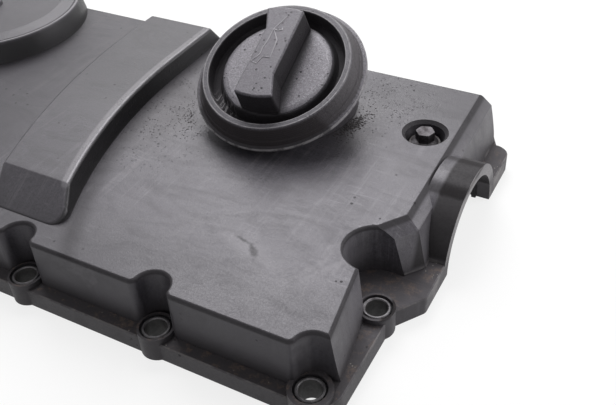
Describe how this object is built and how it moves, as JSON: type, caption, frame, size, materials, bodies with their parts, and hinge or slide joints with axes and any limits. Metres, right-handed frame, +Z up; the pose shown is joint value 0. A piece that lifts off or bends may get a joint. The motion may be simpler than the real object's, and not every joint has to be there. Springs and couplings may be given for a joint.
{
  "type": "engine valve cover",
  "caption": "Moulded plastic valve cover with bolt-boss alcoves, camshaft arch, round breather housing, raised band and tilted oil filler cap with a bar grip.",
  "frame": {"origin": "axis of the timing-end front corner bolt, on the flange's sealing plane", "axes": "+X along the bolt rows towards the timing end, +Y towards the rear, +Z up away from the cylinder head"},
  "size_m": [0.3962, 0.2119, 0.0836],
  "materials": {
    "shell_plastic": "satin glass-filled polyamide",
    "gasket_rubber": "matte moulded rubber",
    "sleeve_steel": "dull plated steel",
    "grommet_rubber": "matte rubber",
    "cap_plastic": "semi-gloss, dusty in the dish",
    "plug_plastic": "matte",
    "lid_plastic": "satin",
    "membrane_rubber": "matte rubber",
    "valve_plastic": "matte",
    "spring_steel": "bright wire",
    "baffle_plastic": "matte",
    "bolt_steel": "zinc plated"
  },
  "bodies": {
    "cover": {"cover_shell": "shell_plastic", "perimeter_gasket": "gasket_rubber", "bolt_sleeves": "sleeve_steel", "bolt_grommets": "grommet_rubber", "breather_lid": "lid_plastic", "diaphragm": "membrane_rubber", "valve_spring": "spring_steel", "oil_baffle": "baffle_plastic", "baffle_screws": "bolt_steel", "well_bolt": "bolt_steel", "well_washer": "bolt_steel", "well_sleeve": "sleeve_steel", "well_seal": "grommet_rubber"},
    "cap_seal_ring": {"cap_seal": "gasket_rubber"},
    "oil_cap": {"filler_cap": "cap_plastic", "cap_plug": "plug_plastic"},
    "breather_valve": {"valve_plate": "valve_plastic"}
  },
  "joints": [
    {"name": "cap_rise", "type": "slide", "parent": "cover", "child": "cap_seal_ring", "axis": [0, -0.4019, 0.9157], "range_m": [0, 0.01201]},
    {"name": "cap_turn", "type": "hinge", "parent": "cap_seal_ring", "child": "oil_cap", "pos_m": [-0.0825, 0.1298, 0.0535], "axis": [0, -0.4019, 0.9157], "range_deg": [0, 270]},
    {"name": "valve_lift", "type": "slide", "parent": "cover", "child": "breather_valve", "axis": [0, 0, -1], "range_m": [0, 0.003], "stiffness_N_per_m": 300, "springref_m": -0.005, "deforming": ["valve_spring", "diaphragm"]}
  ],
  "couplings": [
    {"joint": "cap_rise", "follows": "cap_turn", "m_per_rad": 0.0025465}
  ]
}
